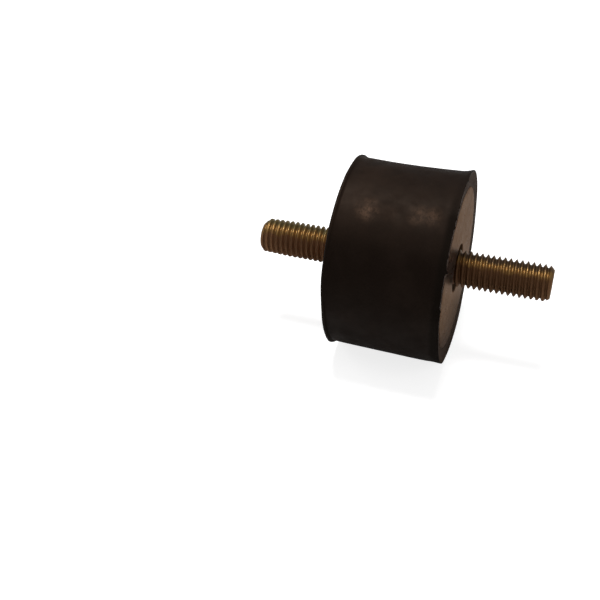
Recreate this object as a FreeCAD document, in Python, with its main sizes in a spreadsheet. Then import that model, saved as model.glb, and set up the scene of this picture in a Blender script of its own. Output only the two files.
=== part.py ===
import FreeCAD, Part
import os
import Sketcher

# Double-stud bobbin vibration mount: a round rubber block moulded and bonded between two steel
# plates, with a threaded stud standing out of the middle of each plate.
#
# The stud axis lies along X, the origin is on it at the middle of the rubber, and +Z is up, so
# the mount lies on its side as it does on a bench. Both ends have the same plate and stud. The
# rubber differs: a moulded bead runs round its left-hand rim, at -X, and its right-hand end
# flares out to a plain lip.

# Driving sizes in millimetres: name, size, what it measures
SIZES = [
    ("body_length", 30.0, "over the outer faces of the two plates, which the rubber ends flush with"),
    ("waist_diameter", 51.1, "rubber where it is narrowest"),
    ("waist_sag", 0.15, "waist below the rubber beside the rims"),
    ("rim_height", 0.55, "rims above the rubber beside them"),
    ("bead_width", 1.7, "bead at the left-hand rim, from the end face to its foot"),
    ("bead_crest", 0.75, "crest of the bead in from the end face"),
    ("bead_round", 0.5, "radius of the bead's crest"),
    ("bead_bevel", 0.35, "end face below the crest of the bead"),
    ("lip_length", 4.0, "flare and lip at the right-hand rim"),
    ("lip_bevel", 0.3, "trimmed edge of the lip, on the radius and in length"),
    ("edge_cover", 3.6, "rubber round the edge of a plate, in from the waist"),
    ("plate_thickness", 3.0, "plate"),
    ("plate_bevel", 0.25, "broken edge of a plate on its outer side"),
    ("countersink_width", 1.05, "countersink round a stud, on the radius and in depth"),
    ("thread_diameter", 10.0, "over the crests of the stud thread"),
    ("stud_length", 25.0, "stud beyond the face of its plate"),
    ("tip_chamfer", 1.2, "point of a stud, on the radius and in length"),
    ("neck_undercut", 0.6, "neck under the thread, on the radius"),
    ("collar_step", 0.5, "pressed collar beyond the thread, on the radius"),
    ("head_overhang", 3.5, "stud head beyond the collar, on the radius"),
    ("head_height", 2.5, "stud head inside the rubber"),
    ("head_chamfer", 0.6, "inner edge of the stud head"),
]

doc = FreeCAD.newDocument("bobbin_mount")
sheet = doc.addObject("Spreadsheet::Sheet", "Sizes")
for row, (alias, size, meaning) in enumerate(SIZES, start=1):
    sheet.set(f"A{row}", alias.replace("_", " "))
    sheet.set(f"B{row}", str(size))
    sheet.setAlias(f"B{row}", alias)
    sheet.set(f"C{row}", meaning)
doc.recompute()

# Places that the pieces share. Each is a distance from the middle of the mount along the stud
# axis, or a radius from that axis, worked out from the sizes above.
PLATE_FACE = "Sizes.body_length / 2"
PLATE_BACK = f"{PLATE_FACE} - Sizes.plate_thickness"
HEAD_FACE = f"{PLATE_BACK} - Sizes.head_height"
COLLAR_END = f"{PLATE_FACE} - Sizes.countersink_width"
STUD_TIP = f"{PLATE_FACE} + Sizes.stud_length"

WAIST_RADIUS = "Sizes.waist_diameter / 2"
SIDE_RADIUS = f"{WAIST_RADIUS} + Sizes.waist_sag"
RIM_RADIUS = f"{SIDE_RADIUS} + Sizes.rim_height"
PLATE_RADIUS = f"{WAIST_RADIUS} - Sizes.edge_cover"
THREAD_RADIUS = "Sizes.thread_diameter / 2"
NECK_RADIUS = f"{THREAD_RADIUS} - Sizes.neck_undercut"
COLLAR_RADIUS = f"{THREAD_RADIUS} + Sizes.collar_step"
HEAD_RADIUS = f"{COLLAR_RADIUS} + Sizes.head_overhang"
ON_AXIS = "0"

FULL_TURN = 360.0
HALF_TURN = 180.0
START, END, CENTRE = 1, 2, 3
SKETCH_ORIGIN = (-1, START)
STUD_AXIS = -1
NEAR = 1e-4


def number(expression):
    """What an expression on the sheet comes to."""
    return float(sheet.evalExpression(expression))


def point(along, radius):
    """A corner of an outline, from the two expressions that place it."""
    return FreeCAD.Vector(number(along), number(radius), 0)


def new_body(label):
    body = doc.addObject("PartDesign::Body", label)
    body.Label = label
    return body


def origin_plane(body, role):
    return next(plane for plane in body.Origin.OriginFeatures if plane.Role == role)


def new_outline(body, name):
    """An empty outline on the plane through the stud axis: distance along it against radius."""
    sketch = body.newObject("Sketcher::SketchObject", name)
    sketch.AttachmentSupport = [(origin_plane(body, "XZ_Plane"), "")]
    sketch.MapMode = "FlatFace"
    return sketch


def bind(sketch, expression, kind, *elements):
    """A constraint whose size follows an expression."""
    index = sketch.addConstraint(Sketcher.Constraint(kind, *elements, number(expression)))
    sketch.setExpression(f"Constraints[{index}]", expression)


def hold(sketch, edge, end, along, radius):
    """Holds one end or the centre of an edge at a place along the axis and at a radius."""
    bind(sketch, along, "DistanceX", *SKETCH_ORIGIN, edge, end)
    if radius == ON_AXIS:
        sketch.addConstraint(Sketcher.Constraint("PointOnObject", edge, end, STUD_AXIS))
    else:
        bind(sketch, radius, "DistanceY", *SKETCH_ORIGIN, edge, end)


def stepped_outline(body, name, corners):
    """A closed outline of straight edges, each corner held by its two expressions."""
    sketch = new_outline(body, name)
    places = [point(*corner) for corner in corners]
    edges = [Part.LineSegment(a, b) for a, b in zip(places, places[1:] + places[:1])]
    sketch.addGeometry(edges, False)
    for edge, corner in enumerate(corners):
        following = (edge + 1) % len(corners)
        sketch.addConstraint(Sketcher.Constraint("Coincident", edge, END, following, START))
        hold(sketch, edge, START, *corner)
    return sketch


def turned(body, kind, name, outline):
    """Turns an outline about the stud axis, to add material or to cut it away."""
    feature = body.newObject(kind, name)
    feature.Profile = outline
    feature.ReferenceAxis = (outline, ["H_Axis"])
    feature.Angle = FULL_TURN
    doc.recompute()
    return feature


def ring_edge(feature, along, radius):
    """The name of a turned feature's circular edge, from its place and its radius."""
    wanted = point(along, radius)
    for index, edge in enumerate(feature.Shape.Edges, start=1):
        circle = edge.Curve
        if not isinstance(circle, Part.Circle):
            continue
        if abs(circle.Center.x - wanted.x) < NEAR and abs(circle.Radius - wanted.y) < NEAR:
            return f"Edge{index}"
    raise ValueError(f"{feature.Label} has no round edge of radius {wanted.y} at {wanted.x}")


def bevelled(body, name, base, place, size):
    """A 45 degree chamfer on one ring edge, with its size bound to the sheet."""
    feature = body.newObject("PartDesign::Chamfer", name)
    feature.Base = (base, [ring_edge(base, *place)])
    feature.setExpression("Size", size)
    doc.recompute()
    return feature


def rubber_outline(body):
    """Half section of the rubber: the bead, the waist, the flare and the lip, down to the axis."""
    left, right = f"-({PLATE_FACE})", PLATE_FACE
    bead_top = (f"{left} + Sizes.bead_crest", RIM_RADIUS)
    bead_centre = (bead_top[0], f"{RIM_RADIUS} - Sizes.bead_round")
    bead_edge = (left, f"{RIM_RADIUS} - Sizes.bead_bevel")
    bead_foot = (f"{left} + Sizes.bead_width", SIDE_RADIUS)
    waist_middle = ("0", WAIST_RADIUS)
    flare_foot = (f"{right} - Sizes.lip_length", SIDE_RADIUS)
    lip_crest = (f"{right} - Sizes.lip_bevel", RIM_RADIUS)
    lip_edge = (right, f"{RIM_RADIUS} - Sizes.lip_bevel")

    # Rough places to draw the arcs through, which the constraints then pull true
    bead_shoulder = f"{RIM_RADIUS} - Sizes.bead_round / 8"
    bead_inside = (f"{bead_top[0]} + Sizes.bead_round / 2", bead_shoulder)
    bead_outside = (f"{bead_top[0]} - Sizes.bead_round / 2", bead_shoulder)
    flare_middle = (f"{right} - Sizes.lip_length / 2", f"{SIDE_RADIUS} + Sizes.rim_height / 4")

    sketch = new_outline(body, "rubber_outline")
    axis, right_face, lip, flare, waist, flank, crest, bevel, left_face = range(9)
    # The arcs run anticlockwise, so the hollow flare and waist start at their left-hand ends
    sketch.addGeometry(
        [
            Part.LineSegment(point(left, ON_AXIS), point(right, ON_AXIS)),
            Part.LineSegment(point(right, ON_AXIS), point(*lip_edge)),
            Part.LineSegment(point(*lip_edge), point(*lip_crest)),
            Part.Arc(point(*flare_foot), point(*flare_middle), point(*lip_crest)),
            Part.Arc(point(*bead_foot), point(*waist_middle), point(*flare_foot)),
            Part.LineSegment(point(*bead_foot), point(*bead_inside)),
            Part.Arc(point(*bead_inside), point(*bead_top), point(*bead_outside)),
            Part.LineSegment(point(*bead_outside), point(*bead_edge)),
            Part.LineSegment(point(*bead_edge), point(left, ON_AXIS)),
        ],
        False,
    )
    lowest = sketch.addGeometry(Part.Point(point(*waist_middle)), True)

    for kind, one, its_end, other, other_end in (
        ("Coincident", axis, END, right_face, START),
        ("Coincident", right_face, END, lip, START),
        ("Coincident", lip, END, flare, END),
        ("Tangent", flare, START, waist, END),
        ("Coincident", waist, START, flank, START),
        ("Tangent", flank, END, crest, START),
        ("Tangent", crest, END, bevel, START),
        ("Coincident", bevel, END, left_face, START),
        ("Coincident", left_face, END, axis, START),
    ):
        sketch.addConstraint(Sketcher.Constraint(kind, one, its_end, other, other_end))
    sketch.addConstraint(Sketcher.Constraint("PointOnObject", lowest, START, waist))
    bind(sketch, "Sizes.bead_round", "Radius", crest)
    for edge, end, place in (
        (axis, START, (left, ON_AXIS)),
        (axis, END, (right, ON_AXIS)),
        (lip, START, lip_edge),
        (lip, END, lip_crest),
        (flare, START, flare_foot),
        (lowest, START, waist_middle),
        (flank, START, bead_foot),
        (crest, CENTRE, bead_centre),
        (bevel, END, bead_edge),
    ):
        hold(sketch, edge, end, *place)
    return sketch


def make_rubber():
    """The moulded block, with a seat in each end for the plate and the stud head behind it."""
    body = new_body("rubber_body")
    block = turned(body, "PartDesign::Revolution", "rubber_block", rubber_outline(body))
    seat_outline = stepped_outline(
        body,
        "seat_outline",
        [
            (HEAD_FACE, ON_AXIS),
            (PLATE_FACE, ON_AXIS),
            (PLATE_FACE, PLATE_RADIUS),
            (PLATE_BACK, PLATE_RADIUS),
            (PLATE_BACK, HEAD_RADIUS),
            (f"{HEAD_FACE} + Sizes.head_chamfer", HEAD_RADIUS),
            (HEAD_FACE, f"{HEAD_RADIUS} - Sizes.head_chamfer"),
        ],
    )
    seat = turned(body, "PartDesign::Groove", "right_seat", seat_outline)
    both_seats = body.newObject("PartDesign::Mirrored", "left_seat")
    both_seats.Originals = [seat]
    both_seats.MirrorPlane = (origin_plane(body, "YZ_Plane"), [""])
    body.Tip = both_seats
    doc.recompute()
    if not block.Shape.Volume > seat.Shape.Volume > both_seats.Shape.Volume:
        raise ValueError("a seat cuts nothing from the rubber")
    return body


def make_plate(label):
    """A stamped steel disc, bored for the stud's collar and countersunk on its outer side."""
    body = new_body(label)
    outline = stepped_outline(
        body,
        "plate_outline",
        [
            (PLATE_BACK, COLLAR_RADIUS),
            (PLATE_FACE, COLLAR_RADIUS),
            (PLATE_FACE, PLATE_RADIUS),
            (PLATE_BACK, PLATE_RADIUS),
        ],
    )
    disc = turned(body, "PartDesign::Revolution", "plate_disc", outline)
    bore_mouth = (PLATE_FACE, COLLAR_RADIUS)
    countersink = bevelled(body, "countersink", disc, bore_mouth, "Sizes.countersink_width")
    bevelled(body, "edge_bevel", countersink, (PLATE_FACE, PLATE_RADIUS), "Sizes.plate_bevel")
    return body


def make_stud(label):
    """A headed stud, pressed through its plate from the rubber's side. Its thread is plain here."""
    body = new_body(label)
    outline = stepped_outline(
        body,
        "stud_outline",
        [
            (HEAD_FACE, ON_AXIS),
            (STUD_TIP, ON_AXIS),
            (STUD_TIP, THREAD_RADIUS),
            (PLATE_FACE, THREAD_RADIUS),
            (f"{PLATE_FACE} - Sizes.neck_undercut", NECK_RADIUS),
            (COLLAR_END, NECK_RADIUS),
            (COLLAR_END, COLLAR_RADIUS),
            (PLATE_BACK, COLLAR_RADIUS),
            (PLATE_BACK, HEAD_RADIUS),
            (HEAD_FACE, HEAD_RADIUS),
        ],
    )
    blank = turned(body, "PartDesign::Revolution", "stud_blank", outline)
    pointed = bevelled(body, "stud_point", blank, (STUD_TIP, THREAD_RADIUS), "Sizes.tip_chamfer")
    bevelled(body, "head_bevel", pointed, (HEAD_FACE, HEAD_RADIUS), "Sizes.head_chamfer")
    return body


# The left-hand plate and stud are the right-hand ones turned end for end
end_for_end = FreeCAD.Placement(
    FreeCAD.Vector(0, 0, 0), FreeCAD.Rotation(FreeCAD.Vector(0, 0, 1), HALF_TURN)
)
right_hand = [make_plate("right_end_plate"), make_stud("right_stud")]
left_hand = [make_plate("left_end_plate"), make_stud("left_stud")]
for piece in left_hand:
    piece.Placement = end_for_end
pieces = [make_rubber()] + right_hand + left_hand
doc.recompute()

for item in doc.Objects:
    faults = {"Invalid", "Error"}.intersection(item.State)
    if faults:
        raise ValueError(f"{item.Label} is {', '.join(sorted(faults))}")
for piece in pieces:
    if piece.Shape.isNull() or not piece.Shape.isValid() or len(piece.Shape.Solids) != 1:
        raise ValueError(f"{piece.Label} has no sound shape")

os.makedirs("parts", exist_ok=True)
for piece in pieces:
    piece.Shape.exportStep(f"parts/{piece.Label}.step")
    print(f"{piece.Label}: {piece.Shape.Volume:.1f} mm3")
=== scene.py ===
import math

import bpy
import numpy as np
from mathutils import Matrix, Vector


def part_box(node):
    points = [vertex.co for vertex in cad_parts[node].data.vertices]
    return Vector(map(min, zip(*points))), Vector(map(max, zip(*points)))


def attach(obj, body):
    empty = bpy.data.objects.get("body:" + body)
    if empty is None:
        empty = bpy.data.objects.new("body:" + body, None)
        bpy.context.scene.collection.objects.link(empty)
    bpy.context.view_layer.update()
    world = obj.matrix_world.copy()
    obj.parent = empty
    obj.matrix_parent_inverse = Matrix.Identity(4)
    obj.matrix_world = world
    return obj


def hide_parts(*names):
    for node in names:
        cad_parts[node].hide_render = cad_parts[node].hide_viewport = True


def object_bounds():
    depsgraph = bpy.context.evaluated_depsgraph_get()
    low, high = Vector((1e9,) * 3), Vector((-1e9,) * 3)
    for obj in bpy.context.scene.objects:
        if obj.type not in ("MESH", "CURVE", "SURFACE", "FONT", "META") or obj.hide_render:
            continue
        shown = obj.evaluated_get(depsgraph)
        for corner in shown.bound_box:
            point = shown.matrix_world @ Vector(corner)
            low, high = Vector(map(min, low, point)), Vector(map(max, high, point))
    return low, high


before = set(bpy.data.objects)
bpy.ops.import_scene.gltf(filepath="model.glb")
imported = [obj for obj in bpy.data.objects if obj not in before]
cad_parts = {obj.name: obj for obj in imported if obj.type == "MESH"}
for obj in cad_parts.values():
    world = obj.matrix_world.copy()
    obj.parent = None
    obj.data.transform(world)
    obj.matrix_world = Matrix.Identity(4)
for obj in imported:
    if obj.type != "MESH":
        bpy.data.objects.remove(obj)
cad_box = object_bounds()

# Rubber block. One moulding of black natural rubber, bonded to both plates in the press. The
# mould closes at the left-hand end and leaves a bead there, and the right-hand end flares to a
# lip with a torn edge of flash. Each end has a seat for a plate and the stud head behind it.

MM = 0.001
FULL_TURN = 2 * math.pi

plate_low, plate_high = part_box("right_end_plate")
stud_low, stud_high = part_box("right_stud")
PLATE_BACK = plate_low.x / MM
PLATE_FACE = plate_high.x / MM
PLATE_RADIUS = plate_high.z / MM
HEAD_BACK = stud_low.x / MM
HEAD_RADIUS = stud_high.z / MM
HEAD_BEVEL = 0.6
MIDDLE_RADIUS = 0.5

SIDE_RADIUS = 25.55
WAIST_SAG = 0.15
RIM_RADIUS = 26.0
RIM_LIMIT = cad_box[1].z / MM - 0.02
RIM_SPARE = 0.25
BEAD_END = -PLATE_FACE - 0.5
BEAD_WIDTH = 1.15
BEAD_ROUND = 0.5
BEAD_FOOT = math.radians(28)
LIP_END = PLATE_FACE + 0.1
LIP_LENGTH = 3.6
LIP_ROUND = 0.16
FLARE_POWER = 2.4
COLUMNS = 480
CREASE = math.radians(40)


def ring_points(along, radius, angle):
    """Points on rings about the stud axis, in metres: x = along, y = radius times the cosine of
    the angle, z = radius times its sine. The three are spread over one grid."""
    along, radius, angle = np.broadcast_arrays(along, radius, angle)
    return np.stack([along, radius * np.cos(angle), radius * np.sin(angle)], axis=-1) * MM


def turned_mesh(name, rings, looped=False):
    """A closed mesh over a grid of rings. Each ring joins the next; the last joins the first if
    looped, and otherwise the two end rings are closed by fans onto their own middles. Faces
    point outwards where the rings run towards +X along the outside."""
    rows, columns = rings.shape[:2]
    index = np.arange(rows * columns).reshape(rows, columns)
    beside = np.roll(index, -1, axis=1)
    above = np.roll(index, -1, axis=0)
    above_beside = np.roll(beside, -1, axis=0)
    quads = np.stack([index, beside, above_beside, above], axis=-1)
    vertices = rings.reshape(-1, 3)
    fans = np.empty((0, 3), dtype=int)
    if not looped:
        quads = quads[:-1]
        first, last = rows * columns, rows * columns + 1
        vertices = np.vstack([vertices, rings[0].mean(axis=0), rings[-1].mean(axis=0)])
        first_fan = np.stack([np.full(columns, first), beside[0], index[0]], axis=-1)
        last_fan = np.stack([index[-1], beside[-1], np.full(columns, last)], axis=-1)
        fans = np.vstack([first_fan, last_fan])
    mesh = bpy.data.meshes.new(name)
    mesh.from_pydata(vertices.tolist(), [], quads.reshape(-1, 4).tolist() + fans.tolist())
    mesh.polygons.foreach_set("use_smooth", np.ones(len(mesh.polygons), dtype=bool))
    mesh.set_sharp_from_angle(angle=CREASE)
    mesh.update()
    piece = bpy.data.objects.new(name, mesh)
    bpy.context.scene.collection.objects.link(piece)
    return piece


def resampled(corners, spacing):
    """An outline through the corners, with points about one spacing apart on every straight."""
    corners = np.asarray(corners, dtype=float)
    lengths = np.linalg.norm(np.diff(corners, axis=0), axis=1)
    travelled = np.concatenate([[0], np.cumsum(lengths)])
    steps = [np.linspace(a, b, max(2, round((b - a) / spacing) + 1))[:-1]
             for a, b in zip(travelled[:-1], travelled[1:])]
    places = np.concatenate(steps + [travelled[-1:]])
    return np.stack([np.interp(places, travelled, corners[:, k]) for k in (0, 1)], axis=-1)


def softened(outline):
    """The outline with its corners rubbed down: each inner point moves halfway to the middle of
    its two neighbours."""
    inner = outline[1:-1] / 2 + (outline[:-2] + outline[2:]) / 4
    return np.vstack([outline[:1], inner, outline[-1:]])


def share(value, none, whole):
    """0 up to one value, 1 from the other on, and a straight rise in between."""
    return np.clip((value - none) / (whole - none), 0, 1)


def rubber_outline():
    """Outer stretch of the rubber's half section, from the left-hand plate to the right-hand one.
    The bead is a round arch, the waist a shallow parabola, and the flare rises as a power."""
    arch = np.linspace(math.pi, BEAD_FOOT, 14)
    bead = np.stack([BEAD_END + BEAD_ROUND + BEAD_ROUND * np.cos(arch),
                     RIM_RADIUS - BEAD_ROUND + BEAD_ROUND * np.sin(arch)], axis=-1)
    side = np.linspace(BEAD_END + BEAD_WIDTH, LIP_END - LIP_ROUND, 96)
    rise = share(side, LIP_END - LIP_LENGTH, LIP_END - LIP_ROUND) ** FLARE_POWER
    waist = SIDE_RADIUS - WAIST_SAG * (1 - (side / PLATE_FACE) ** 2).clip(0)
    wall = np.stack([side, waist + (RIM_RADIUS - SIDE_RADIUS) * rise], axis=-1)
    corner = np.linspace(math.pi / 2, 0, 5)[1:]
    lip = np.stack([LIP_END - LIP_ROUND + LIP_ROUND * np.cos(corner),
                    RIM_RADIUS - LIP_ROUND + LIP_ROUND * np.sin(corner)], axis=-1)
    left_face = resampled([(-PLATE_FACE, PLATE_RADIUS), tuple(bead[0])], spacing=0.35)[:-1]
    right_face = resampled([tuple(lip[-1]), (PLATE_FACE, PLATE_RADIUS)], spacing=0.35)[1:]
    return softened(np.vstack([left_face, bead, wall, lip, right_face]))


seat = resampled([(HEAD_BACK, MIDDLE_RADIUS), (HEAD_BACK, HEAD_RADIUS - HEAD_BEVEL),
                  (HEAD_BACK + HEAD_BEVEL, HEAD_RADIUS), (PLATE_BACK, HEAD_RADIUS),
                  (PLATE_BACK, PLATE_RADIUS), (PLATE_FACE, PLATE_RADIUS)], spacing=3.0)[:-1]
left_seat = seat * (-1, 1)
outline = np.vstack([left_seat, rubber_outline(), seat[::-1]])
angle = np.linspace(0, FULL_TURN, COLUMNS, endpoint=False)[None, :]
along, radius = outline[:, :1], outline[:, 1:]

# How far each ring belongs to the moulded outside, the bead, the lip, the wall and the lip's edge
outside = share(radius, PLATE_RADIUS + 0.4, PLATE_RADIUS + 2.4)
bead_foot = BEAD_END + BEAD_WIDTH
on_bead = share(along, bead_foot + 0.3, bead_foot - 0.3) * outside
on_lip = share(along, LIP_END - LIP_LENGTH, LIP_END) ** 1.5 * outside
on_wall = outside * (1 - on_bead)
on_edge = (share(along, LIP_END - 0.5, LIP_END - 0.1)
           * share(radius, RIM_RADIUS - 1.1, RIM_RADIUS - 0.2))

# How far the moulding strays from its drawing, in millimetres. The block is fuller low at the
# front and up at the back, more so towards the lip, and hollow high at the back. Its edges
# wander, and the lip is torn high at the front.
HOLLOW, HOLLOW_MEAN, HOLLOW_SIDE = 0.31, -0.135, math.radians(60)
TAPER, TAPER_FROM, TOP_SIDE = 0.26, -5.0, math.radians(54)
LIP_FLARE, LIP_FLARE_WOBBLE = 0.12, 0.3
LOW_SIDE, LOW_REACH = 236, 40
LOW_BELLY, BELLY_FROM, BELLY_FULL = 0.14, 2.0, 10.0
LOW_TUCK = 0.5
BEAD_SWELL, BEAD_SWING = 0.10, 0.06
WALL_WOBBLE, BEAD_WOBBLE, LIP_WOBBLE = 0.045, 0.06, 0.05
BEAD_SHIFTS = ((0.35, 200, 24), (-0.30, 62, 22))
BEAD_SHIFT_WOBBLE = 0.05
EDGE_SHIFT = 0.12
EDGE_SHIFTS = ((-0.20, 35, 40), (0.50, 215, 36), (0.24, 280, 28))
TORN_DEPTH, TORN_MIDDLE, TORN_REACH = 0.9, 135, 48


def wander(angle, along, waves, seed):
    """An even-handed wobble between about -1 and 1: a sum of waves round the part, each with a
    random phase and a slow random drift along the axis. Higher waves are weaker."""
    draw = np.random.default_rng(seed)
    total = np.zeros(np.broadcast(angle, along).shape)
    for wave in waves:
        phase, drift = draw.uniform(0, FULL_TURN), draw.uniform(-0.25, 0.25)
        total += np.cos(wave * angle + phase + drift * along) / math.sqrt(wave)
    return total / sum(1 / math.sqrt(wave) for wave in waves)


def swell(middle, reach):
    """1 at an angle round the block, falling to 0 either side of it, both in degrees: the
    exponential of minus the fourth power of the distance in reaches."""
    away = (np.degrees(angle) - middle + 180) % 360 - 180
    return np.exp(-(away / reach) ** 4)


def shifted(shifts):
    """The sum of several swells, each an amount at its own middle and reach."""
    return sum(amount * swell(middle, reach) for amount, middle, reach in shifts)


hollow = HOLLOW * np.cos(angle - HOLLOW_SIDE) + HOLLOW_MEAN
taper = TAPER * share(along, TAPER_FROM, PLATE_FACE) * np.cos(angle - TOP_SIDE) ** 2
ragged = wander(angle, 0 * along, (13, 29, 47, 83, 131), seed=7).clip(0) ** 1.5
flare = LIP_FLARE * (1 + LIP_FLARE_WOBBLE * wander(angle, 0 * along, (3, 7, 15), seed=8))
belly = LOW_BELLY * share(along, BELLY_FROM, BELLY_FULL)
radius = (radius
          - on_wall * hollow * (1 - (along / PLATE_FACE) ** 2).clip(0)
          + on_wall * taper
          + on_lip * flare
          + (on_wall * belly - on_lip * LOW_TUCK) * swell(LOW_SIDE, LOW_REACH)
          + on_bead * (BEAD_SWELL - BEAD_SWING * np.cos(angle - HOLLOW_SIDE))
          + on_wall * WALL_WOBBLE * wander(angle, along, (2, 3, 5, 8), seed=3)
          + on_bead * BEAD_WOBBLE * wander(angle, along, (5, 9, 16, 31), seed=4)
          + on_lip * LIP_WOBBLE * wander(angle, along, (7, 19, 43, 71), seed=5))
radius = np.minimum(radius, RIM_LIMIT + RIM_SPARE * np.sin(2 * angle) ** 2)
along = (along
         + on_bead * (shifted(BEAD_SHIFTS)
                      + BEAD_SHIFT_WOBBLE * wander(angle, 0 * along, (3, 11, 23), seed=6))
         + on_edge * (EDGE_SHIFT + shifted(EDGE_SHIFTS)
                      + TORN_DEPTH * swell(TORN_MIDDLE, TORN_REACH) * ragged))
rubber = turned_mesh("rubber_block", ring_points(along, radius, angle))

DEEP_RUBBER = (0.0060, 0.0036, 0.0026, 1)
BLOOM = (0.0100, 0.0062, 0.0046, 1)
# The dust colours are partly a painted sheen, and the bare colour is painted shade on the flare.
DUST_AND_SHEEN = (0.0155, 0.0088, 0.0058, 1)
PALE_PATCH = (0.086, 0.049, 0.031, 1)
END_DUST_AND_SHEEN = (0.064, 0.043, 0.032, 1)
FLARE_SHADE = (0.0030, 0.0022, 0.0016, 1)
RUBBER_GLEAM = (1.0, 0.72, 0.54, 1)
RUBBER_SHEEN = 0.09
RUBBER_ROUGH = (0.5, 0.64)
DUST_AND_SHEEN_FROM, DUST_AND_SHEEN_FULL, DUST_AND_SHEEN_AT_RIGHT = 12.0, 22.0, 0.45
FLARE_SHADE_FROM, FLARE_SHADE_FULL, FLARE_SHADE_ABOVE, FLARE_SHADE_BELOW = 25.5, 22.0, 0.25, 0.9
END_DUST_AND_SHEEN_FROM, END_DUST_AND_SHEEN_FULL, END_DUST_AND_SHEEN_BELOW = 12.0, 23.0, 0.85
FLARE_DULLER = 0.19
END_DULLER = 0.32
UNDERSIDE_FULL, UNDERSIDE_DULLER = -16.0, 0.16

# Each pale patch is a middle and a reach in millimetres, and a strength
PALE_PATCHES = (((-6.9, -14.2, 21.2), (4.4, 4.6, 4.2), 1.0), ((5.8, -13.6, 21.5), (3.6, 4.4, 3.8), 0.65),
          ((9.6, -13.4, 21.7), (3.2, 4.2, 3.6), 0.6), ((-1.2, -14.0, 21.2), (3.0, 4.0, 3.4), 0.12))


def new_material(name):
    """A material with its node tree, and its main shader."""
    material = bpy.data.materials.new(name)
    material.use_nodes = True
    return material, material.node_tree, material.node_tree.nodes["Principled BSDF"]


def feed(tree, socket, value):
    """A value put into a socket, or a link from another socket."""
    if isinstance(value, bpy.types.NodeSocket):
        tree.links.new(value, socket)
    else:
        socket.default_value = value


def add_node(tree, kind, inputs=(), **settings):
    """A node with its settings and inputs. An input is a value, or a socket to link from."""
    node = tree.nodes.new(kind)
    for setting, value in settings.items():
        setattr(node, setting, value)
    for socket, value in dict(inputs).items():
        feed(tree, node.inputs[socket], value)
    return node


def object_place(tree):
    """Places on the object, in metres."""
    return add_node(tree, "ShaderNodeTexCoord").outputs["Object"]


def along_and_height(tree, place):
    """How far along the stud axis a place is, and how high above it, in millimetres."""
    scaled = add_node(tree, "ShaderNodeVectorMath", {0: place, "Scale": 1 / MM}, operation="SCALE")
    apart = add_node(tree, "ShaderNodeSeparateXYZ", {0: scaled.outputs[0]})
    return apart.outputs["X"], apart.outputs["Z"]


def noise(tree, place, size, detail=4.0, roughness=0.55, stretch=(1, 1, 1)):
    """Cloudy noise from 0 to 1 whose lumps are about one size across, in millimetres."""
    scaled = add_node(tree, "ShaderNodeVectorMath", {0: place, 1: stretch}, operation="MULTIPLY")
    texture = add_node(tree, "ShaderNodeTexNoise",
                       {"Vector": scaled.outputs[0], "Scale": 1 / (size * MM), "Detail": detail,
                        "Roughness": roughness})
    return texture.outputs["Fac"]


def ramp(tree, value, low, high, low_out=0.0, high_out=1.0):
    """A smooth step of a value between two levels."""
    node = add_node(tree, "ShaderNodeMapRange",
                    {"Value": value, "From Min": low, "From Max": high, "To Min": low_out,
                     "To Max": high_out}, interpolation_type="SMOOTHSTEP")
    return node.outputs["Result"]


def arithmetic(tree, operation, one, other=0.0):
    """A sum, a product or the like of two values."""
    return add_node(tree, "ShaderNodeMath", {0: one, 1: other}, operation=operation).outputs[0]


def colour_mix(tree, part, one, other):
    """One colour turning into the other as the part goes from 0 to 1."""
    node = add_node(tree, "ShaderNodeMix", {"Factor": part}, data_type="RGBA")
    first, second = (s for s in node.inputs if s.type == "RGBA")
    feed(tree, first, one)
    feed(tree, second, other)
    return next(s for s in node.outputs if s.type == "RGBA")


def near_place(tree, place, middle, reach):
    """1 at a place on the object, falling smoothly to 0 at its reach, both in millimetres."""
    offset = add_node(tree, "ShaderNodeVectorMath",
                      {0: place, 1: tuple(v * MM for v in middle)}, operation="SUBTRACT")
    spread = add_node(tree, "ShaderNodeVectorMath",
                      {0: offset.outputs[0], 1: tuple(1 / (v * MM) for v in reach)},
                      operation="MULTIPLY")
    distance = add_node(tree, "ShaderNodeVectorMath", {0: spread.outputs[0]}, operation="LENGTH")
    return ramp(tree, distance.outputs["Value"], 1.0, 0.0)


def axis_radius(tree, place):
    """Distance from the stud axis, in millimetres."""
    flat = add_node(tree, "ShaderNodeVectorMath", {0: place, 1: (0, 1 / MM, 1 / MM)},
                    operation="MULTIPLY")
    return add_node(tree, "ShaderNodeVectorMath", {0: flat.outputs[0]},
                    operation="LENGTH").outputs["Value"]


def bump(tree, height, strength, depth):
    """A normal from a height. The depth is in millimetres."""
    node = add_node(tree, "ShaderNodeBump",
                    {"Height": height, "Strength": strength, "Distance": depth * MM})
    return node.outputs["Normal"]


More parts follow.
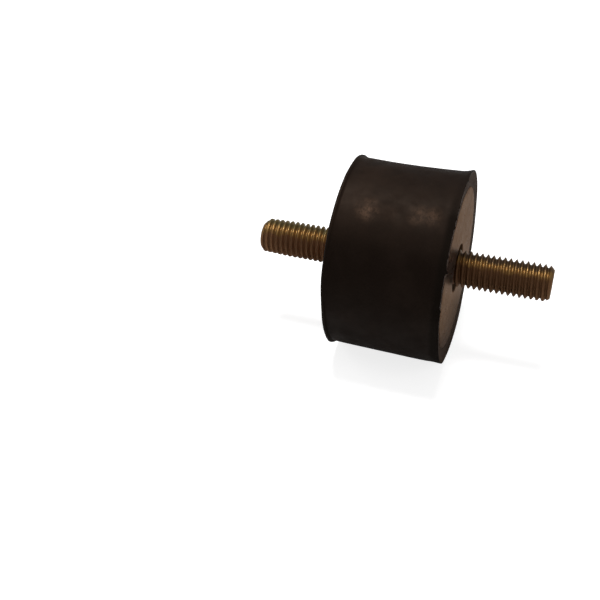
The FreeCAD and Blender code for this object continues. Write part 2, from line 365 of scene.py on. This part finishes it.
def rubber_material():
    """Black rubber with a brown cast: cloudy bloom, dust above with part of the top's sheen painted
    in, two pale mottled patches high at the front, painted shade on the flare, dust on the end face
    that is partly a painted sheen, and a fine orange-peel skin."""
    material, tree, shader = new_material("moulded_rubber")
    place = object_place(tree)
    along, height = along_and_height(tree, place)

    bloom = ramp(tree, noise(tree, place, size=9, detail=5, roughness=0.6), 0.45, 0.75)
    colour = colour_mix(tree, bloom, DEEP_RUBBER, BLOOM)
    # Dust above, partly a painted sheen: lighter and warmer towards the top, and less at the right.
    higher_up = ramp(tree, height, DUST_AND_SHEEN_FROM, DUST_AND_SHEEN_FULL)
    uneven = ramp(tree, noise(tree, place, size=6, detail=6, roughness=0.65), 0.3, 0.7, 0.35, 1.0)
    less_right = ramp(tree, along, -12, 12, 1.0, DUST_AND_SHEEN_AT_RIGHT)
    dust_and_sheen = arithmetic(tree, "MULTIPLY", arithmetic(tree, "MULTIPLY", higher_up, uneven), less_right)
    colour = colour_mix(tree, dust_and_sheen, colour, DUST_AND_SHEEN)

    streaks = ramp(tree, noise(tree, place, size=2.0, detail=5, roughness=0.6), 0.35, 0.65, 0.2, 1.0)
    small = noise(tree, place, size=0.9, detail=4, roughness=0.7, stretch=(1.6, 1, 1))
    pits = ramp(tree, small, 0.38, 0.5, 0.35, 1.0)
    grain = arithmetic(tree, "MULTIPLY", streaks, pits)
    # Lighter mottled patches high at the front.
    for middle, reach, strength in PALE_PATCHES:
        patch = arithmetic(tree, "MULTIPLY", near_place(tree, place, middle, reach), strength)
        paler = arithmetic(tree, "MULTIPLY", patch, grain)
        colour = colour_mix(tree, paler, colour, PALE_PATCH)

    # Painted shade on the flare, which turns away from the overhead lamp: darker there, least at the
    # very top.
    on_flare = ramp(tree, along, LIP_END - 2.7, LIP_END - 0.9)
    low_down = ramp(tree, height, FLARE_SHADE_FROM, FLARE_SHADE_FULL, FLARE_SHADE_ABOVE, FLARE_SHADE_BELOW)
    flare = arithmetic(tree, "MULTIPLY", on_flare, low_down)
    colour = colour_mix(tree, flare, colour, FLARE_SHADE)
    # Dust on the end face, partly a painted sheen, stronger towards the top.
    inside_lip = ramp(tree, axis_radius(tree, place), RIM_RADIUS, RIM_RADIUS - 0.3)
    at_end = ramp(tree, along, PLATE_FACE - 0.2, PLATE_FACE)
    end_face = arithmetic(tree, "MULTIPLY", at_end, inside_lip)
    more_above = ramp(tree, height, END_DUST_AND_SHEEN_FROM, END_DUST_AND_SHEEN_FULL, END_DUST_AND_SHEEN_BELOW, 1.0)
    colour = colour_mix(tree, arithmetic(tree, "MULTIPLY", end_face, more_above), colour, END_DUST_AND_SHEEN)
    feed(tree, shader.inputs["Base Color"], colour)

    mottled = noise(tree, place, size=5, detail=4, roughness=0.6)
    rough = ramp(tree, mottled, 0.3, 0.7, *RUBBER_ROUGH)
    underside = ramp(tree, height, 0.0, UNDERSIDE_FULL, 0.0, UNDERSIDE_DULLER)
    duller = arithmetic(tree, "MAXIMUM", arithmetic(tree, "MULTIPLY", flare, FLARE_DULLER),
                        arithmetic(tree, "MULTIPLY", end_face, END_DULLER))
    rough = arithmetic(tree, "ADD", arithmetic(tree, "ADD", rough, underside), duller)
    feed(tree, shader.inputs["Roughness"], rough)
    feed(tree, shader.inputs["Specular IOR Level"], RUBBER_SHEEN)
    feed(tree, shader.inputs["Specular Tint"], RUBBER_GLEAM)
    skin = noise(tree, place, size=0.5, detail=5, roughness=0.6)
    feed(tree, shader.inputs["Normal"], bump(tree, skin, strength=0.35, depth=0.05))
    return material


rubber.data.materials.append(rubber_material())
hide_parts("rubber_body")
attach(rubber, "root")

# End plates. Stamped steel discs, passivated a brownish beige and set flush into the rubber,
# which is bonded to them. Each is bored for the collar of its stud and countersunk, and is
# coloured dark brown over the countersink and in a ragged ring round it.

PLATE_BEVEL = 0.25
BORE_RADIUS = 5.5
COUNTERSINK = 1.05
SINK_EASE_DEEP = 0.02
SINK_EASE_WIDE = 0.05
PLATE_COLUMNS = 256
PLATE_COLOUR = (0.32, 0.245, 0.20, 1)
PLATE_PALE = (0.39, 0.31, 0.255, 1)
PLATE_STAIN = (0.12, 0.085, 0.065, 1)
# The grey is painted shade low down on the plate.
PLATE_LOW_SHADE = (0.235, 0.205, 0.190, 1)
PLATE_EDGE_ON = (0.250, 0.178, 0.130, 1)
PLATE_ROUGH = (0.26, 0.36)
LOW_SHADE_FROM, LOW_SHADE_FULL, LOW_SHADE_SHARE = -4.0, -18.0, 0.8
SINK_BROWN = (0.100, 0.066, 0.042, 1)
SINK_DULLER = 0.6
SINK_RAGGED = 1.2


def plate_rings(end):
    """The plate's section as a closed loop, carried round the axis. The loop is turned end for
    end at the left-hand plate by giving both x and y a minus sign."""
    turn = np.linspace(0, math.pi / 2, 6)
    edge = np.stack([PLATE_FACE - PLATE_BEVEL + PLATE_BEVEL * np.sin(turn),
                     PLATE_RADIUS - PLATE_BEVEL + PLATE_BEVEL * np.cos(turn)], axis=-1)
    sink_radius = BORE_RADIUS + COUNTERSINK
    face = resampled([tuple(edge[-1]), (PLATE_FACE, sink_radius + SINK_EASE_WIDE)], spacing=0.8)[1:]
    sink = np.array([(PLATE_FACE - SINK_EASE_DEEP, sink_radius),
                     (PLATE_FACE - COUNTERSINK, BORE_RADIUS)])
    back = resampled([(PLATE_BACK, BORE_RADIUS), (PLATE_BACK, PLATE_RADIUS)], spacing=4.0)
    loop = np.vstack([back, edge, face, sink])
    angle = np.linspace(0, FULL_TURN, PLATE_COLUMNS, endpoint=False)[None, :]
    return ring_points(loop[:, :1], loop[:, 1:], angle) * (end, end, 1)


def plate_material():
    """Satin passivated steel: cloudy tint, stains near the rubber, painted shade that makes it
    darker and greyer low down, fine scratches, and dark brown over the countersink and round it."""
    material, tree, shader = new_material("passivated_plate")
    place = object_place(tree)
    radius = axis_radius(tree, place)
    _, height = along_and_height(tree, place)

    cloud = ramp(tree, noise(tree, place, size=7, detail=5, roughness=0.6), 0.35, 0.7)
    colour = colour_mix(tree, cloud, PLATE_COLOUR, PLATE_PALE)
    blotch = noise(tree, place, size=2.2, detail=6, roughness=0.7)
    near_edge = ramp(tree, radius, PLATE_RADIUS - 1.65, PLATE_RADIUS + 0.15)
    edge_stain = arithmetic(tree, "MULTIPLY", near_edge, ramp(tree, blotch, 0.4, 0.65))
    colour = colour_mix(tree, edge_stain, colour, PLATE_STAIN)
    # Painted shade: darker and greyer towards the bottom.
    low_down = ramp(tree, height, LOW_SHADE_FROM, LOW_SHADE_FULL, 0.0, LOW_SHADE_SHARE)
    colour = colour_mix(tree, low_down, colour, PLATE_LOW_SHADE)
    # Dark brown over the countersink and in a ragged ring round it.
    lumps = noise(tree, place, size=3.5, detail=2, roughness=0.4)
    ragged = arithmetic(tree, "ADD", radius, arithmetic(tree, "MULTIPLY", lumps, SINK_RAGGED))
    sink_ring = ramp(tree, ragged, BORE_RADIUS + 2.2, BORE_RADIUS + 1.4)
    colour = colour_mix(tree, sink_ring, colour, SINK_BROWN)
    feed(tree, shader.inputs["Base Color"], colour)

    mottled = noise(tree, place, size=3, detail=5, roughness=0.65)
    satin = ramp(tree, mottled, 0.3, 0.75, *PLATE_ROUGH)
    dull = arithmetic(tree, "ADD", satin, arithmetic(tree, "MULTIPLY", sink_ring, SINK_DULLER))
    feed(tree, shader.inputs["Roughness"], dull)
    feed(tree, shader.inputs["Metallic"], 1.0)
    feed(tree, shader.inputs["Specular Tint"], PLATE_EDGE_ON)
    scratches = noise(tree, place, size=0.6, detail=4, roughness=0.6, stretch=(1, 0.12, 1))
    feed(tree, shader.inputs["Normal"], bump(tree, scratches, strength=0.05, depth=0.02))
    return material


plate_finish = plate_material()
for name, end in (("right_end_plate", 1), ("left_end_plate", -1)):
    plate = turned_mesh(name + "_finished", plate_rings(end), looped=True)
    plate.data.materials.append(plate_finish)
    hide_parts(name)
    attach(plate, "root")

# Studs. Headed steel studs with a rolled M10 x 1.5 thread, yellow passivated zinc, pressed
# through the plates from behind so that the head lies in the rubber. The thread starts at the
# countersink and runs out over the chamfered point.

STUD_TIP = stud_high.x / MM
THREAD_RADIUS = 5.0
THREAD_DEPTH = 0.92
PITCH = 1.5
CREST_FLAT = PITCH / 8
CREST_ROUND = 0.05
ROOT_ROUND = 0.1414
NECK_RADIUS = 4.4
NECK_TOP = PLATE_FACE - 0.6
WEAR_LENGTH = 8.0
STUD_COLUMNS = 96
ROWS_PER_TURN = 20
# Gold is a painted highlight; olive, brown, bronze and red bronze are painted shade, and bronze also
# tints the sawn ends.
GOLD_HIGHLIGHT = (0.275, 0.157, 0.054, 1)
OLIVE_SHADE = (0.180, 0.135, 0.060, 1)
BROWN_SHADE = (0.130, 0.080, 0.045, 1)
BRONZE_SHADE_AND_TONE = (0.215, 0.105, 0.050, 1)
RED_BRONZE_SHADE = (0.160, 0.077, 0.035, 1)
# The tarnish and the grime are painted shade, on the crests in front and in the roots.
CREST_SHADE = (0.055, 0.032, 0.018, 1)
CUT_END = (0.190, 0.125, 0.065, 1)
ROOT_SHADE = (0.03, 0.02, 0.01, 1)
STUD_EDGE_ON = (0.45, 0.38, 0.30, 1)
STUD_METALLIC = 0.65
POLISH_IN_FRONT, POLISH_ON_TOP, POLISH_MOTTLE = 0.5, 0.3, 0.1
BAND_WAVE = 0.6
HIGHLIGHT_SHIFT, TOP_SHADE_SHIFT = 0.3, 0.4
ROOT_SHADE_SHARE = 0.28
CREST_SHADE_SHARE = 0.45

# For each stud: its end, the length of its point above and below, the wear of its crests above
# and below, and the share of a turn at which its thread starts
STUDS = (("right_stud", 1, (1.2, 1.2), (0.0, 0.35), -0.15),
         ("left_stud", -1, (1.6, 1.2), (0.35, 0.35), 0.25))


def thread_radius(along, angle, phase):
    """Radius of a right-handed ridge thread. Where a ridge is, it is flat for an eighth of the
    pitch, then falls at 60 degrees between flanks to a rounded root. A ridge moves on by one
    pitch for each turn, and the phase says where the first one starts, as a share of a turn."""
    turns = along / PITCH - angle / FULL_TURN - phase
    from_crest = np.abs(turns - np.round(turns)) * PITCH
    fall = (from_crest - CREST_FLAT / 2) / math.tan(math.radians(30))
    fall = (fall + np.sqrt(fall ** 2 + CREST_ROUND ** 2)) / 2
    left_over = THREAD_DEPTH - fall
    return THREAD_RADIUS - THREAD_DEPTH + (left_over + np.sqrt(left_over ** 2 + ROOT_ROUND ** 2)) / 2


def stud_rings(end, point, worn, phase):
    """The stud from the middle of its head to the middle of its point. Over the thread, the
    radius is the least of the ridge, the run-out cone at the neck, the cone of the point, and
    crests worn down at the point, fading out over the wear's length. The point's length and
    the wear are each given above and below, and turn from one to the other as a cosine round
    the stud."""
    angle = np.linspace(0, FULL_TURN, STUD_COLUMNS, endpoint=False)[None, :]
    shank = resampled([(HEAD_BACK, MIDDLE_RADIUS), (HEAD_BACK, HEAD_RADIUS - HEAD_BEVEL),
                       (HEAD_BACK + HEAD_BEVEL, HEAD_RADIUS), (PLATE_BACK, HEAD_RADIUS),
                       (PLATE_BACK, BORE_RADIUS), (PLATE_FACE - COUNTERSINK, BORE_RADIUS),
                       (PLATE_FACE - COUNTERSINK, NECK_RADIUS), (NECK_TOP, NECK_RADIUS)],
                      spacing=2.0)
    rows = round((STUD_TIP - NECK_TOP) / PITCH * ROWS_PER_TURN)
    along = np.linspace(NECK_TOP, STUD_TIP, rows + 1)[1:, None]
    above = end * math.cos(TOP_SIDE) * np.cos(angle) + math.sin(TOP_SIDE) * np.sin(angle)
    below = (1 - above) / 2
    tip_radius = THREAD_RADIUS - point[0] - (point[1] - point[0]) * below
    wear = worn[0] + (worn[1] - worn[0]) * below
    near_tip = ((along - STUD_TIP + WEAR_LENGTH) / WEAR_LENGTH).clip(0)
    radius = np.minimum(thread_radius(along, angle, phase), NECK_RADIUS + along - NECK_TOP)
    radius = np.minimum(radius, tip_radius + STUD_TIP - along)
    radius = np.minimum(radius, THREAD_RADIUS - wear * near_tip)
    flat = np.linspace(1, 0.1, 6)[1:, None] * tip_radius
    return np.concatenate([ring_points(shank[:, :1], shank[:, 1:], angle),
                           ring_points(along, radius, angle),
                           ring_points(STUD_TIP, flat, angle)]) * (end, end, 1)


def stud_material():
    """Yellow passivated zinc with light and shade painted round the stud: a gold painted highlight
    along the top, painted shade in brown or olive behind and in a duller bronze to red in front,
    and painted shade in the roots and on the crests in front. The sawn ends are a plain tan."""
    material, tree, shader = new_material("yellow_zinc")
    place = object_place(tree)
    radius = axis_radius(tree, place)
    along, _ = along_and_height(tree, place)
    right_hand = ramp(tree, along, -10, 10)
    top = (0, math.cos(TOP_SIDE) / MM, math.sin(TOP_SIDE) / MM)
    towards_top = add_node(tree, "ShaderNodeVectorMath", {0: place, 1: top},
                           operation="DOT_PRODUCT").outputs["Value"]
    cloud = noise(tree, place, size=3, detail=5, roughness=0.6)
    wave = ramp(tree, cloud, 0.3, 0.7, -BAND_WAVE, BAND_WAVE)
    lower = arithmetic(tree, "MULTIPLY", right_hand, HIGHLIGHT_SHIFT)
    wavy = arithmetic(tree, "SUBTRACT", arithmetic(tree, "ADD", towards_top, wave), lower)
    upper = arithmetic(tree, "ADD", wavy, arithmetic(tree, "MULTIPLY", right_hand, TOP_SHADE_SHIFT))

    # Painted highlight and shade round each stud: a gold highlight along the top, brown or olive
    # shade behind, and a bronze to red shade in front.
    shaded_front = colour_mix(tree, right_hand, BRONZE_SHADE_AND_TONE, RED_BRONZE_SHADE)
    shaded_behind = colour_mix(tree, right_hand, OLIVE_SHADE, BROWN_SHADE)
    colour = colour_mix(tree, ramp(tree, wavy, -0.3, 1.0), shaded_front, GOLD_HIGHLIGHT)
    colour = colour_mix(tree, ramp(tree, upper, 2.2, 3.4), colour, shaded_behind)
    cut_end = ramp(tree, arithmetic(tree, "ABSOLUTE", along), STUD_TIP - 0.5, STUD_TIP - 0.1)
    cut_colour = colour_mix(tree, ramp(tree, cloud, 0.35, 0.65), BRONZE_SHADE_AND_TONE, CUT_END)
    colour = colour_mix(tree, cut_end, colour, cut_colour)
    # Painted shade in the thread roots, but not on the sawn ends.
    in_root = ramp(tree, radius, THREAD_RADIUS - 0.3, THREAD_RADIUS - 0.9, 0.0, ROOT_SHADE_SHARE)
    root_shade = arithmetic(tree, "MULTIPLY", in_root, arithmetic(tree, "SUBTRACT", 1.0, cut_end))
    colour = colour_mix(tree, root_shade, colour, ROOT_SHADE)
    # Painted shade on the crests in front, below the highlight.
    on_crest = ramp(tree, radius, THREAD_RADIUS - 0.4, THREAD_RADIUS - 0.05)
    shaded_crests = arithmetic(tree, "MULTIPLY", on_crest, ramp(tree, wavy, 0.9, -0.3, 0.0, CREST_SHADE_SHARE))
    colour = colour_mix(tree, shaded_crests, colour, CREST_SHADE)
    feed(tree, shader.inputs["Base Color"], colour)

    mottled = noise(tree, place, size=1.2, detail=5, roughness=0.65)
    polish = ramp(tree, wavy, -0.8, 0.6, POLISH_IN_FRONT, POLISH_ON_TOP)
    rough = arithmetic(tree, "ADD", ramp(tree, mottled, 0.3, 0.7, 0.0, POLISH_MOTTLE), polish)
    feed(tree, shader.inputs["Roughness"], rough)
    feed(tree, shader.inputs["Metallic"], STUD_METALLIC)
    feed(tree, shader.inputs["Specular Tint"], STUD_EDGE_ON)
    skin = noise(tree, place, size=0.35, detail=4, roughness=0.6)
    feed(tree, shader.inputs["Normal"], bump(tree, skin, strength=0.07, depth=0.02))
    return material


stud_finish = stud_material()
for name, end, point, worn, phase in STUDS:
    stud = turned_mesh(name + "_threaded", stud_rings(end, point, worn, phase))
    stud.data.materials.append(stud_finish)
    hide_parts(name)
    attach(stud, "root")

# Bench. A plain white sheet of paper, on which the mount lies on its two rims. It shows white to
# the camera and in reflections, and still takes the mount's shadow.

FLOOR_SIZE = 6.0
PAPER_WHITE = (0.6, 0.6, 0.6, 1)
PAPER_ROUGH = 0.9

# Near and far are metres from the mount. The glow is the share of the sheet's white that is its
# own light there, and in mirrors.
NEAR, FAR = 0.2, 0.8
GLOW_NEAR, GLOW_FAR, GLOW_MIRRORED = 0.8, 1.0, 0.2

half = FLOOR_SIZE / 2
floor_level = cad_box[0].z
corners = [(-half, -half), (half, -half), (half, half), (-half, half)]
sheet_mesh = bpy.data.meshes.new("white_sheet")
sheet_mesh.from_pydata([(x, y, floor_level) for x, y in corners], [], [(0, 1, 2, 3)])
sheet = bpy.data.objects.new("white_sheet", sheet_mesh)
bpy.context.scene.collection.objects.link(sheet)


def by_mirror(tree, rays):
    """1 where a ray comes off something shiny or through something clear, and 0 elsewhere."""
    return arithmetic(tree, "MAXIMUM", rays.outputs["Is Glossy Ray"],
                      rays.outputs["Is Transmission Ray"])


def sheet_material():
    """White paper. Seen straight or mirrored, a share of its light is its own, so that it is
    white all over and only the deep of the shadow is grey."""
    material, tree, shader = new_material("white_paper")
    feed(tree, shader.inputs["Base Color"], PAPER_WHITE)
    feed(tree, shader.inputs["Roughness"], PAPER_ROUGH)
    feed(tree, shader.inputs["Specular IOR Level"], 0.0)
    rays = add_node(tree, "ShaderNodeLightPath")
    away = add_node(tree, "ShaderNodeVectorMath", {0: object_place(tree)}, operation="LENGTH")
    glow = ramp(tree, away.outputs["Value"], NEAR, FAR, GLOW_NEAR, GLOW_FAR)
    seen = arithmetic(tree, "MULTIPLY", rays.outputs["Is Camera Ray"], glow)
    mirrored = arithmetic(tree, "MULTIPLY", by_mirror(tree, rays), GLOW_MIRRORED)
    own_light = add_node(tree, "ShaderNodeEmission",
                         {"Color": (1, 1, 1, 1),
                          "Strength": arithmetic(tree, "MAXIMUM", seen, mirrored)})
    both = add_node(tree, "ShaderNodeAddShader", {0: shader.outputs[0], 1: own_light.outputs[0]})
    feed(tree, tree.nodes["Material Output"].inputs["Surface"], both.outputs[0])
    return material


sheet_mesh.materials.append(sheet_material())

# Studio light. A wide soft box almost overhead, a weak fill at either side, and a white room that
# lights the mount only weakly and shows in it a little more strongly.

LAMPS = (
    ("overhead_box", (-0.12, 0.05, 1.0), 0.34, 8.4),
    ("left_fill", (-1.00, 0.10, 0.50), 0.60, 1.4),
    ("right_fill", (1.00, -0.35, 0.75), 0.60, 1.8),
)
ROOM_LIGHT = 0.24
ROOM_MIRRORED = 0.26

for name, spot, width, power in LAMPS:
    lamp = bpy.data.lights.new(name, "AREA")
    lamp.shape = "DISK"
    lamp.size = width
    lamp.energy = power
    holder = bpy.data.objects.new(name, lamp)
    holder.location = spot
    across, away, up = spot
    holder.rotation_euler = (math.acos(up / math.hypot(across, away, up)), 0,
                             math.atan2(-away, -across) - math.pi / 2)
    bpy.context.scene.collection.objects.link(holder)

world = bpy.data.worlds.new("white_room")
world.use_nodes = True
room = world.node_tree
rays = add_node(room, "ShaderNodeLightPath")
mirrored = arithmetic(room, "MULTIPLY", by_mirror(room, rays), ROOM_MIRRORED)
backdrop = arithmetic(room, "MAXIMUM", rays.outputs["Is Camera Ray"], mirrored)
strength = arithmetic(room, "MAXIMUM", backdrop, ROOM_LIGHT)
feed(room, room.nodes["Background"].inputs["Color"], (1, 1, 1, 1))
feed(room, room.nodes["Background"].inputs["Strength"], strength)
bpy.context.scene.world = world

# Camera, fitted to the outline of the mount in the photograph. It stands a little to the right of
# the mount and looks down on it.

AZIMUTH = math.radians(18.762)
ELEVATION = math.radians(34.205)
ROLL = math.radians(-0.135)
CAMERA_PLACE = (0.04370, -0.21658, 0.13518)
FOCAL_PIXELS = 945.5
PICTURE_PIXELS = 600.0
SENSOR = 36.0
view = bpy.data.cameras.new("camera")
view.sensor_width = SENSOR
view.lens = FOCAL_PIXELS / PICTURE_PIXELS * SENSOR
view.clip_start = 0.01
camera = bpy.data.objects.new("camera", view)
camera.location = CAMERA_PLACE
camera.rotation_euler = (math.pi / 2 - ELEVATION, ROLL, AZIMUTH)
bpy.context.scene.collection.objects.link(camera)
bpy.context.scene.camera = camera
bpy.context.scene.view_settings.view_transform = "Standard"
